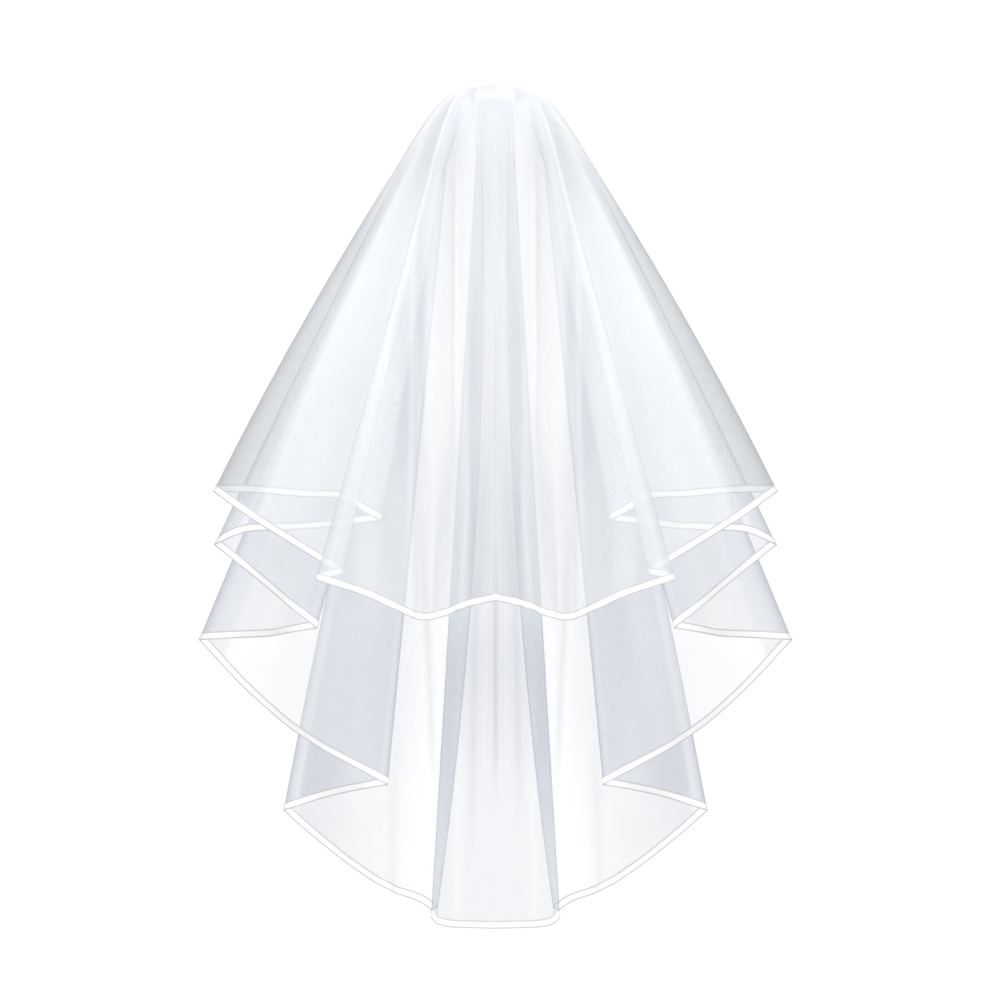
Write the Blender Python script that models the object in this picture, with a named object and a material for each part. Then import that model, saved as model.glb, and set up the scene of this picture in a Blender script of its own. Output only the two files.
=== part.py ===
"""Short two-tier bridal veil: one oval of tulle folded over a comb, bound all round with narrow ribbon.

Metres, +Z up. The origin is on the comb, at the middle of its spine, where the wearer's hair holds it.
The veil hangs behind the wearer, so its outer side faces -Y and the face opening is at +Y.

The oval hangs in cone-like folds that all start at the comb. Each half is a zig-zag of panels, from
the middle of the short tier round to the middle of the long tier. Three sections set it: one standing
on the comb, one lying level at head height, and the hem. Between the first two the section swings back
and down about an axis through the head, so its layers keep their order. Below it the folds run straight.
"""
from collections import namedtuple
import math

import bmesh
import bpy
import numpy as np

# Driving sizes
CLOTH_WALL = 0.0010
RIBBON_WIDTH = 0.008
RIBBON_WALL = 0.0016
SEAM_GAP = 0.0003
SLANTED_SEAM = 2.0 * SEAM_GAP
LAYER_PITCH = 0.0020
LAYERS_BELOW_TOP = 9
ROLL_TOP = CLOTH_WALL + LAYERS_BELOW_TOP * LAYER_PITCH + SEAM_GAP
CROWN_TOP = 0.0203
HEAD_DROP = 0.085
HEAD_Z = CROWN_TOP - HEAD_DROP
ROLL_CENTRE = 3 * LAYER_PITCH
ROLL_FRONT = 0.0030
SET_BACK = 0.0080
COMB_TURN = LAYER_PITCH / 2.0

# Rows down the cloth
ROLL_ROWS = 4
DOME_ROWS = 5
SHORT_SKIRT_ROWS = 7
LONG_SKIRT_ROWS = 5

# Folds of one half, in the order in which the edge of the oval passes them.
# point is 1 where the fold points outward and -1 where it points inward. deeper is 1 where the next
# panel lies nearer to the wearer and -1 where it lies farther out. layer counts down from the top of
# the stack at the comb, at the middle of the turn. drop is measured down from the top of the crown,
# turn_x and turn_y are the half length and half width of the rounded turn, and bow moves the fold
# line outward midway between head and hem.
Fold = namedtuple(
    "Fold",
    "name point deeper comb_x layer head_x head_y head_turn_x head_turn_y "
    "hem_x hem_y hem_drop hem_turn_x hem_turn_y bow")
FOLDS = [
    Fold("notch_out", 1, 1, 0.0240, 0.5, 0.066, -0.1000, 0.0012, 0.0012,
         0.183, -0.132, 0.510, 0.008, 0.0035, 0.000),
    Fold("notch_in", -1, 1, 0.0195, 1.5, 0.062, -0.0976, 0.0012, 0.0012,
         0.157, -0.125, 0.505, 0.006, 0.0030, 0.000),
    Fold("first_ridge", 1, 1, 0.0300, 2.5, 0.0995, -0.0750, 0.0110, 0.0060,
         0.289, -0.070, 0.420, 0.034, 0.0150, 0.006),
    Fold("first_valley", -1, 1, 0.0215, 3.5, 0.052, -0.0910, 0.0040, 0.0020,
         0.117, -0.115, 0.450, 0.010, 0.0040, 0.000),
    Fold("second_ridge", 1, 1, 0.0295, 4.5, 0.0965, -0.0590, 0.0090, 0.0055,
         0.289, -0.028, 0.475, 0.024, 0.0100, 0.002),
    Fold("second_valley", -1, 1, 0.0215, 5.5, 0.050, -0.0770, 0.0040, 0.0020,
         0.183, -0.072, 0.560, 0.010, 0.0040, 0.000),
    Fold("third_ridge", 1, 1, 0.0290, 6.5, 0.0925, -0.0440, 0.0080, 0.0050,
         0.306, 0.014, 0.573, 0.026, 0.0110, 0.003),
    Fold("third_valley", -1, 1, 0.0215, 7.5, 0.050, -0.0650, 0.0040, 0.0020,
         0.110, -0.090, 0.720, 0.010, 0.0040, 0.000),
    Fold("fourth_ridge", 1, 1, 0.0275, 8.5, 0.070, -0.0420, 0.0040, 0.0030,
         0.218, -0.020, 0.748, 0.016, 0.0070, 0.006),
    Fold("box_pleat_in", -1, -1, 0.0100, 8.5, 0.013, -0.0930, 0.0020, 0.0013,
         0.060, -0.075, 0.853, 0.0020, 0.0030, -0.016),
    Fold("box_pleat_out", 1, -1, 0.0150, 7.5, 0.020, -0.0958, 0.0020, 0.0013,
         0.066, -0.082, 0.856, 0.0020, 0.0030, 0.000),
]
FOLD_STEPS = {
    "notch_out": 4, "notch_in": 4, "first_ridge": 8, "first_valley": 3, "second_ridge": 6,
    "second_valley": 4, "third_ridge": 6, "third_valley": 4, "fourth_ridge": 5, "box_pleat_in": 4,
    "box_pleat_out": 4}

# The middles of the two tiers, where the half meets its mirror image.
Middle = namedtuple("Middle", "layer head_y hem_y hem_drop")
SHORT_MIDDLE = Middle(0.0, -0.118, -0.150, 0.531)
LONG_MIDDLE = Middle(7.0, -0.100, -0.088, 0.867)

# Panels between the folds. roll is how far the panel's start and end roll over the front of the comb,
# back is how far they start behind that roll, and hem lists points of its edge as (x, drop).
Panel = namedtuple("Panel", "name steps roll back hem")
PANELS = [
    Panel("short_front", 32, (1, 1), (0, 0), [
        (0.026, 0.537), (0.052, 0.547), (0.072, 0.551), (0.103, 0.540), (0.129, 0.528)]),
    Panel("notch", 1, (1, 1), (0, 0), []),
    Panel("short_side", 4, (1, 0), (0, 0), [(0.206, 0.475), (0.248, 0.449)]),
    Panel("short_return", 5, (0, 0), (0, 1), [
        (0.252, 0.421), (0.201, 0.425), (0.160, 0.427), (0.134, 0.441)]),
    Panel("long_first", 4, (0, 0), (1, 0), [(0.201, 0.459), (0.252, 0.461)]),
    Panel("long_second", 3, (0, 0), (0, 1), []),
    Panel("long_third", 3, (0, 0), (1, 0), [(0.242, 0.569)]),
    Panel("long_fourth", 4, (0, 0), (0, 1), [(0.258, 0.624), (0.209, 0.665)]),
    Panel("long_fifth", 3, (0, 0), (1, 0), [(0.149, 0.727)]),
    Panel("long_back", 6, (0, 0), (0, 0), [
        (0.196, 0.768), (0.141, 0.810), (0.107, 0.830), (0.078, 0.840)]),
    Panel("box_pleat", 1, (0, 0), (0, 0), []),
    Panel("long_middle", 3, (0, 0), (0, 0), [(0.060, 0.862), (0.045, 0.8655)]),
]
SHORT_PANELS = 4

# Soft gathers of the short tier, which hang straight down. x is how far a ridge lies from the middle,
# spread is its half width, and rise is how far it stands out at the hem. They fade out at the notch.
Gather = namedtuple("Gather", "x spread rise")
GATHERS = [
    Gather(0.000, 0.0060, 0.0050),
    Gather(0.032, 0.0060, 0.0060),
    Gather(0.064, 0.0045, 0.0045),
    Gather(0.088, 0.0065, 0.0070),
    Gather(0.133, 0.0140, 0.0050),
]
GATHER_AT_COMB = 0.15
GATHER_AT_HEAD = 0.45
GATHER_FADE = 8

# Comb
COMB_TEETH = 12
TOOTH_PITCH = 0.0050
TOOTH_WIDTH = 0.0022
TOOTH_TIP_WIDTH = 0.0012
TOOTH_LENGTH = 0.030
TOOTH_ROWS = 3
COMB_WALL = 0.0020
SPINE_DEPTH = 0.0070
SPINE_FRONT = 0.0030
TOOTH_DROP = 0.0180
TOOTH_CURVE = 1.5

# Looks
TULLE_COLOUR = (0.86, 0.88, 0.92, 1.0)
TULLE_ROUGHNESS = 0.65
RIBBON_COLOUR = (0.94, 0.94, 0.94, 1.0)
RIBBON_ROUGHNESS = 0.35
COMB_COLOUR = (0.80, 0.82, 0.84, 1.0)
COMB_ROUGHNESS = 0.20
SHARP_FROM_DEGREES = 60


def clear_scene():
    for thing in list(bpy.data.objects):
        bpy.data.objects.remove(thing, do_unlink=True)


def make_material(name, colour, roughness):
    material = bpy.data.materials.new(name)
    material.use_nodes = True
    shader = material.node_tree.nodes["Principled BSDF"]
    shader.inputs["Base Color"].default_value = colour
    shader.inputs["Roughness"].default_value = roughness
    shader.inputs["Metallic"].default_value = 0.0
    return material


def ease(share):
    return share * share * (3.0 - 2.0 * share)


def edge_line(index):
    """Drop of one panel's edge as a function of x: a slope-limited cubic from fold line to fold line."""
    knots = list(PANELS[index].hem)
    knots.insert(0, (0.0, SHORT_MIDDLE.hem_drop) if index == 0
                 else (FOLDS[index - 1].hem_x, FOLDS[index - 1].hem_drop))
    knots.append((0.0, LONG_MIDDLE.hem_drop) if index == len(PANELS) - 1
                 else (FOLDS[index].hem_x, FOLDS[index].hem_drop))
    first_x, last_x = knots[0][0], knots[-1][0]
    shares = [(x - first_x) / (last_x - first_x) for x, drop in knots]
    drops = [drop for x, drop in knots]
    rises = [(b - a) / (q - p) for p, q, a, b in zip(shares, shares[1:], drops, drops[1:])]
    slopes = [rises[0]]
    for before, after in zip(rises, rises[1:]):
        slopes.append(0.0 if before * after <= 0.0 else 2.0 * before * after / (before + after))
    slopes.append(rises[-1])

    def drop_at(x):
        share = (x - first_x) / (last_x - first_x)
        piece = max(i for i, knot in enumerate(shares[:-1]) if i == 0 or share >= knot)
        width = shares[piece + 1] - shares[piece]
        part = (share - shares[piece]) / width
        start_pull = width * slopes[piece] * part * (1.0 - part) ** 2
        end_pull = width * slopes[piece + 1] * part ** 2 * (1.0 - part)
        blend = drops[piece] + (drops[piece + 1] - drops[piece]) * ease(part)
        return blend + start_pull - end_pull

    return drop_at


def section_drop(level, index, x):
    """How far below the top of the crown one panel's section lies at x."""
    if level == "hem":
        return edge_line(index)(x)
    return HEAD_DROP if level == "head" else 0.0


def fold_sizes(fold, level):
    """Apex x and depth, and the half length and half width of the turn, at one section."""
    if level == "comb":
        return fold.comb_x, fold.layer * LAYER_PITCH, COMB_TURN, COMB_TURN
    if level == "head":
        return fold.head_x, fold.head_y, fold.head_turn_x, fold.head_turn_y
    return fold.hem_x, fold.hem_y, fold.hem_turn_x, fold.hem_turn_y


def middle_point(middle, level):
    if level == "comb":
        return 0.0, middle.layer * LAYER_PITCH
    return 0.0, middle.head_y if level == "head" else middle.hem_y


def turn_point(index, level, angle):
    """x, depth and drop on a fold's rounded turn, from angle 0 where it starts to pi where it ends."""
    fold = FOLDS[index]
    x, depth, turn_x, turn_y = fold_sizes(fold, level)
    x -= fold.point * turn_x * (1.0 - math.sin(angle))
    depth -= fold.deeper * turn_y * math.cos(angle)
    return x, depth, section_drop(level, index if angle < math.pi / 2.0 else index + 1, x)


def gather_rise(x):
    return sum(g.rise * np.exp(-((x - g.x) / g.spread) ** 2 / 2.0) for g in GATHERS)


def gather_out(points, gathered, growth):
    """Moves points of the falling cloth outward by their gathers."""
    points[:, 1] -= gathered * gather_rise(points[:, 0]) * growth
    return points


def panel_columns(index, level):
    """Columns of one panel, both ends included: x, depth, drop, roll, back, gathered and bow."""
    panel = PANELS[index]
    first, last = index == 0, index == len(PANELS) - 1
    start = middle_point(SHORT_MIDDLE, level) if first else turn_point(index - 1, level, math.pi)
    end = middle_point(LONG_MIDDLE, level) if last else turn_point(index, level, 0.0)
    bows = (0.0 if first else FOLDS[index - 1].bow, 0.0 if last else FOLDS[index].bow)
    columns = []
    for step in range(panel.steps + 1):
        share = step / panel.steps
        x = start[0] + (end[0] - start[0]) * share
        columns.append((
            x,
            start[1] + (end[1] - start[1]) * ease(share),
            section_drop(level, index, x),
            panel.roll[0] + (panel.roll[1] - panel.roll[0]) * share,
            panel.back[0] + (panel.back[1] - panel.back[0]) * share,
            1.0 - share ** GATHER_FADE if first else 0.0,
            bows[0] + (bows[1] - bows[0]) * ease(share)))
    return columns


def turn_columns(index, level, part="whole"):
    """Columns inside one fold's turn. The panels beside it hold its two ends."""
    fold, before = FOLDS[index], PANELS[index]
    steps = FOLD_STEPS[fold.name]
    half_gap = SLANTED_SEAM / fold_sizes(fold, level)[3]
    if part == "whole":
        angles = [math.pi * i / steps for i in range(1, steps)]
    elif part == "to seam":
        angles = [(math.pi / 2.0 - half_gap) * i / steps for i in range(1, steps + 1)]
    else:
        angles = [math.pi - (math.pi / 2.0 - half_gap) * i / steps for i in range(steps, 0, -1)]
    held = (before.roll[1], before.back[1], 0.0, fold.bow)
    return [turn_point(index, level, angle) + held for angle in angles]


def half_section(tier, level):
    columns = []
    if tier == "short":
        for index in range(SHORT_PANELS):
            columns += panel_columns(index, level)
            columns += turn_columns(index, level, "whole" if index < SHORT_PANELS - 1 else "to seam")
    else:
        columns += turn_columns(SHORT_PANELS - 1, level, "from seam")
        for index in range(SHORT_PANELS, len(PANELS)):
            columns += panel_columns(index, level)
            if index < len(FOLDS):
                columns += turn_columns(index, level)
    return np.array(columns)


def unit(vectors):
    return vectors / np.linalg.norm(vectors, axis=-1, keepdims=True)


def half_grid(tier):
    """Middle surface of one half of a tier: the cloth's rows and columns, and the ribbon's two rows."""
    comb, head, hem = (half_section(tier, level) for level in ("comb", "head", "hem"))
    depth, roll, gathered, bow = comb[:, 1], comb[:, 3], comb[:, 5], comb[:, 6]
    start_y = -SET_BACK * comb[:, 4]
    start_z = ROLL_TOP - CLOTH_WALL / 2.0 - depth
    none = np.zeros_like(depth)
    rows = []

    roll_rows = ROLL_ROWS if tier == "short" else 1
    radius = np.maximum(ROLL_CENTRE - depth, 0.0)
    for row in range(roll_rows):
        ahead = 1.0 - row / roll_rows
        angle = math.pi * ahead * roll
        y = start_y + radius * np.sin(angle) + ROLL_FRONT * ahead * (1.0 - roll)
        z = start_z - radius * (1.0 - np.cos(angle))
        rows.append(np.stack([comb[:, 0], y, z], axis=1))

    start_radius = start_z - HEAD_Z
    head_radius = -head[:, 1]
    start_swing = np.arcsin(-start_y / start_radius)
    for row in range(DOME_ROWS):
        share = row / DOME_ROWS
        swing = start_swing + (math.pi / 2.0 - start_swing) * share
        growth = GATHER_AT_COMB + (GATHER_AT_HEAD - GATHER_AT_COMB) * share
        x = comb[:, 0] + (head[:, 0] - comb[:, 0]) * share
        radius = start_radius + (head_radius - start_radius) * ease(share)
        radius += gathered * gather_rise(x) * growth
        rows.append(np.stack([x, -radius * np.sin(swing), HEAD_Z + radius * np.cos(swing)], axis=1))

    head_points = np.stack([head[:, 0], head[:, 1], HEAD_Z + none], axis=1)
    hem_points = np.stack([hem[:, 0], hem[:, 1], CROWN_TOP - hem[:, 2]], axis=1)
    fall = unit(hem_points - head_points)
    edge = unit(np.gradient(hem_points, axis=0, edge_order=2))
    crossing = np.linalg.norm(np.cross(fall, edge), axis=1, keepdims=True)
    cloth_end = hem_points - fall * (RIBBON_WIDTH + SLANTED_SEAM) / crossing
    ribbon_end = hem_points - fall * RIBBON_WIDTH / crossing
    skirt_rows = SHORT_SKIRT_ROWS if tier == "short" else LONG_SKIRT_ROWS
    for row in range(skirt_rows + 1):
        share = row / skirt_rows
        growth = GATHER_AT_HEAD + (1.0 - GATHER_AT_HEAD) * share
        points = head_points + (cloth_end - head_points) * share
        points[:, 0] += bow * 4.0 * share * (1.0 - share)
        rows.append(gather_out(points, gathered, growth))
    edging = [gather_out(points, gathered, 1.0) for points in (ribbon_end, hem_points)]
    return np.array(rows), np.array(edging)


def whole_grid(half, middle_first):
    """Adds the mirror image of a half. The middle column is shared."""
    mirror = half[:, ::-1] * (-1.0, 1.0, 1.0)
    if middle_first:
        return np.concatenate([mirror[:, :-1], half], axis=1)
    return np.concatenate([half, mirror[:, 1:]], axis=1)


def sheet_wall(name, grid, thickness, material):
    """Closed wall of even thickness round the middle surface that the grid gives."""
    down = np.gradient(grid, axis=0)
    across = np.gradient(grid, axis=1, edge_order=2)
    normals = unit(np.cross(down, across))
    sides = (grid + normals * thickness / 2.0, grid - normals * thickness / 2.0)
    row_count, column_count = grid.shape[:2]
    mesh = bmesh.new()
    outer, inner = (
        [[mesh.verts.new(point) for point in row] for row in side] for side in sides)
    for i in range(row_count - 1):
        for j in range(column_count - 1):
            mesh.faces.new((outer[i][j], outer[i + 1][j], outer[i + 1][j + 1], outer[i][j + 1]))
            mesh.faces.new((inner[i][j], inner[i][j + 1], inner[i + 1][j + 1], inner[i + 1][j]))
    rim = [(0, j) for j in range(column_count)]
    rim += [(i, column_count - 1) for i in range(1, row_count)]
    rim += [(row_count - 1, j) for j in range(column_count - 2, -1, -1)]
    rim += [(i, 0) for i in range(row_count - 2, 0, -1)]
    for (i, j), (k, m) in zip(rim, rim[1:] + rim[:1]):
        mesh.faces.new((outer[i][j], outer[k][m], inner[k][m], inner[i][j]))
    return finish_object(name, mesh, material)


def finish_object(name, mesh, material):
    bmesh.ops.recalc_face_normals(mesh, faces=mesh.faces)
    data = bpy.data.meshes.new(name)
    mesh.to_mesh(data)
    mesh.free()
    data.materials.append(material)
    data.shade_smooth()
    data.set_sharp_from_angle(angle=math.radians(SHARP_FROM_DEGREES))
    thing = bpy.data.objects.new(name, data)
    bpy.context.scene.collection.objects.link(thing)
    return thing


def make_comb(material):
    """Clear hair comb: a spine under the gathers and teeth that curve down the back of the head."""
    spine_y = [SPINE_FRONT, SPINE_FRONT - SPINE_DEPTH]
    centres = [(i - (COMB_TEETH - 1) / 2.0) * TOOTH_PITCH for i in range(COMB_TEETH)]

    def level(y):
        along = (SPINE_FRONT - y) / (SPINE_DEPTH + TOOTH_LENGTH)
        return -TOOTH_DROP * along ** TOOTH_CURVE

    mesh = bmesh.new()

    def pair(x, y):
        return mesh.verts.new((x, y, level(y))), mesh.verts.new((x, y, level(y) - COMB_WALL))

    def cell(a, b, c, d, open_sides):
        """Top and bottom of a cell with corners a, b, c, d, and a wall on each listed side."""
        corners = (a, b, c, d)
        mesh.faces.new([corner[0] for corner in corners])
        mesh.faces.new([corner[1] for corner in reversed(corners)])
        for side in open_sides:
            p, q = corners[side], corners[(side + 1) % 4]
            mesh.faces.new((p[0], p[1], q[1], q[0]))

    edges = [x + side * TOOTH_WIDTH / 2.0 for x in centres for side in (-1.0, 1.0)]
    front, back = ([pair(x, y) for x in edges] for y in spine_y)
    last = len(edges) - 2
    for i in range(len(edges) - 1):
        sides = [3]
        if i % 2 == 1:
            sides.append(1)
        if i == 0:
            sides.append(0)
        if i == last:
            sides.append(2)
        cell(front[i], back[i], back[i + 1], front[i + 1], sides)
    for i, x in enumerate(centres):
        left, right = back[2 * i], back[2 * i + 1]
        for row in range(1, TOOTH_ROWS + 1):
            share = row / TOOTH_ROWS
            half = (TOOTH_WIDTH + (TOOTH_TIP_WIDTH - TOOTH_WIDTH) * share) / 2.0
            y = spine_y[1] - TOOTH_LENGTH * share
            next_left, next_right = pair(x - half, y), pair(x + half, y)
            sides = [0, 2] + ([1] if row == TOOTH_ROWS else [])
            cell(left, next_left, next_right, right, sides)
            left, right = next_left, next_right
    return finish_object("comb", mesh, material)


def make_veil():
    clear_scene()
    tulle = make_material("tulle", TULLE_COLOUR, TULLE_ROUGHNESS)
    ribbon = make_material("satin_ribbon", RIBBON_COLOUR, RIBBON_ROUGHNESS)
    clear = make_material("clear_comb", COMB_COLOUR, COMB_ROUGHNESS)
    for tier, prefix in (("short", "upper"), ("long", "lower")):
        cloth, edging = half_grid(tier)
        sheet_wall(prefix + "_tier", whole_grid(cloth, tier == "short"), CLOTH_WALL, tulle)
        sheet_wall(prefix + "_ribbon", whole_grid(edging, tier == "short"), RIBBON_WALL, ribbon)
    make_comb(clear)


make_veil()
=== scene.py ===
"""Looks of a short two-tier bridal veil: sheer tulle, satin ribbon edge, clear comb and white thread."""
from collections import namedtuple
import math

import bpy
import numpy as np
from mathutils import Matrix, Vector


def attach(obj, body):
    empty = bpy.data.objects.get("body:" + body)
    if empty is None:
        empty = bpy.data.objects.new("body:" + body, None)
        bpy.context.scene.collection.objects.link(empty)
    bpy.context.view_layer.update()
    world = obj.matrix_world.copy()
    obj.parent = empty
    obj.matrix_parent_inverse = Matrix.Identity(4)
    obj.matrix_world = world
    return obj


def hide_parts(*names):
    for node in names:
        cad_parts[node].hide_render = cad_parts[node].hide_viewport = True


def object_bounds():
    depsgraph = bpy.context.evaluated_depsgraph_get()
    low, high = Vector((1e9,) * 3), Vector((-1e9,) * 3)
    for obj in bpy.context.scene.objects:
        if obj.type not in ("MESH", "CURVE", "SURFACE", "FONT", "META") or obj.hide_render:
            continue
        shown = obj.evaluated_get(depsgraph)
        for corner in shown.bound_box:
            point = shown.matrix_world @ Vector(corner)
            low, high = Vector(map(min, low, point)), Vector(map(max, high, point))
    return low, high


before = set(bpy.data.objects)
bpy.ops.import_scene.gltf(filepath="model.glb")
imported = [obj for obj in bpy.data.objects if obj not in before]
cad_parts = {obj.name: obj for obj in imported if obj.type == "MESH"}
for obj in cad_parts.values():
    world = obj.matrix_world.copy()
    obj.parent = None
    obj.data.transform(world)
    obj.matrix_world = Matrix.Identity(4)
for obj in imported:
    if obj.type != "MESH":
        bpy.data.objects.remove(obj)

cad_low, cad_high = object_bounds()

# The cut and the drape.
# The whole veil is one oval of soft tulle. A comb gathers it at a point on its long axis, so it falls in
# two tiers with a cascade of cone-like folds down each side. Both tiers hang on the same run of folds.

CLOTH_WALL = 0.0010
RIBBON_WIDTH = 0.008
SEAM_GAP = 0.0003
SLANTED_SEAM = 2.0 * SEAM_GAP
LAYER_PITCH = 0.0020
LAYERS_BELOW_TOP = 9
ROLL_TOP = CLOTH_WALL + LAYERS_BELOW_TOP * LAYER_PITCH + SEAM_GAP
CROWN_TOP = 0.0203
HEAD_DROP = 0.085
HEAD_Z = CROWN_TOP - HEAD_DROP
ROLL_CENTRE = 3 * LAYER_PITCH
ROLL_FRONT = 0.0030
SET_BACK = 0.0080
COMB_TURN = LAYER_PITCH / 2.0

# Rows down the cloth, and how many columns of the sheet there are to a step of a panel and of a turn
ROLL_ROWS = 8
DOME_ROWS = 16
SKIRT_ROWS = 36
PANEL_FINENESS = 4
TURN_FINENESS = 3

# point is 1 where the fold points outward, deeper is 1 where the next panel lies nearer to the wearer,
# and layer counts down from the top of the stack on the comb.
Fold = namedtuple(
    "Fold",
    "name steps point deeper comb_x layer head_x head_y head_turn_x head_turn_y "
    "hem_x hem_y hem_drop hem_turn_x hem_turn_y bow")
FOLDS = [
    Fold("notch_out", 4, 1, 1, 0.0240, 0.5, 0.066, -0.1000, 0.0012, 0.0012,
         0.183, -0.132, 0.510, 0.008, 0.0035, 0.000),
    Fold("notch_in", 4, -1, 1, 0.0195, 1.5, 0.062, -0.0976, 0.0012, 0.0012,
         0.157, -0.125, 0.505, 0.006, 0.0030, 0.000),
    Fold("first_ridge", 8, 1, 1, 0.0300, 2.5, 0.0995, -0.0750, 0.0110, 0.0060,
         0.289, -0.070, 0.420, 0.034, 0.0150, 0.006),
    Fold("first_valley", 4, -1, 1, 0.0215, 3.5, 0.052, -0.0910, 0.0040, 0.0020,
         0.117, -0.115, 0.450, 0.010, 0.0040, 0.000),
    Fold("second_ridge", 6, 1, 1, 0.0295, 4.5, 0.0965, -0.0590, 0.0090, 0.0055,
         0.289, -0.028, 0.475, 0.024, 0.0100, 0.002),
    Fold("second_valley", 4, -1, 1, 0.0215, 5.5, 0.050, -0.0770, 0.0040, 0.0020,
         0.183, -0.072, 0.560, 0.010, 0.0040, 0.000),
    Fold("third_ridge", 6, 1, 1, 0.0290, 6.5, 0.0925, -0.0440, 0.0080, 0.0050,
         0.306, 0.014, 0.573, 0.026, 0.0110, 0.003),
    Fold("third_valley", 4, -1, 1, 0.0215, 7.5, 0.050, -0.0650, 0.0040, 0.0020,
         0.110, -0.090, 0.720, 0.010, 0.0040, 0.000),
    Fold("fourth_ridge", 5, 1, 1, 0.0275, 8.5, 0.070, -0.0420, 0.0040, 0.0030,
         0.218, -0.020, 0.748, 0.016, 0.0070, 0.006),
    Fold("box_pleat_in", 4, -1, -1, 0.0100, 8.5, 0.013, -0.0930, 0.0020, 0.0013,
         0.060, -0.075, 0.853, 0.0020, 0.0030, -0.016),
    Fold("box_pleat_out", 4, 1, -1, 0.0150, 7.5, 0.020, -0.0958, 0.0020, 0.0013,
         0.066, -0.082, 0.856, 0.0020, 0.0030, 0.000),
]

# The middles of the two tiers
Middle = namedtuple("Middle", "layer head_y hem_y hem_drop")
SHORT_MIDDLE = Middle(0.0, -0.118, -0.150, 0.531)
LONG_MIDDLE = Middle(7.0, -0.100, -0.088, 0.867)

# roll is how far the panel's two sides roll over the front of the comb, back is how far they start behind
# that roll, and hem lists points of its edge as (x, drop).
Panel = namedtuple("Panel", "name steps roll back hem")
PANELS = [
    Panel("short_front", 18, (1, 1), (0, 0), [
        (0.026, 0.537), (0.052, 0.547), (0.072, 0.551), (0.103, 0.540), (0.129, 0.528)]),
    Panel("notch", 1, (1, 1), (0, 0), []),
    Panel("short_side", 4, (1, 0), (0, 0), [(0.206, 0.475), (0.248, 0.449)]),
    Panel("short_return", 5, (0, 0), (0, 1), [
        (0.252, 0.421), (0.201, 0.425), (0.160, 0.427), (0.134, 0.441)]),
    Panel("long_first", 4, (0, 0), (1, 0), [(0.201, 0.459), (0.252, 0.461)]),
    Panel("long_second", 3, (0, 0), (0, 1), []),
    Panel("long_third", 3, (0, 0), (1, 0), [(0.242, 0.569)]),
    Panel("long_fourth", 4, (0, 0), (0, 1), [(0.258, 0.624), (0.209, 0.665)]),
    Panel("long_fifth", 3, (0, 0), (1, 0), [(0.149, 0.727)]),
    Panel("long_back", 16, (0, 0), (0, 0), [
        (0.196, 0.768), (0.141, 0.810), (0.107, 0.830), (0.078, 0.840)]),
    Panel("box_pleat", 1, (0, 0), (0, 0), []),
    Panel("long_middle", 12, (0, 0), (0, 0), [(0.060, 0.862), (0.045, 0.8655)]),
]
SHORT_PANELS = 4

# Soft gathers of the short tier, which hang straight down at x from the middle
Gather = namedtuple("Gather", "x spread rise")
GATHERS = [
    Gather(0.000, 0.0060, 0.0050),
    Gather(0.032, 0.0060, 0.0060),
    Gather(0.064, 0.0045, 0.0045),
    Gather(0.088, 0.0065, 0.0070),
    Gather(0.133, 0.0140, 0.0050),
]
GATHER_AT_COMB = 0.15
GATHER_AT_HEAD = 0.45
GATHER_FADE = 8

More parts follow.
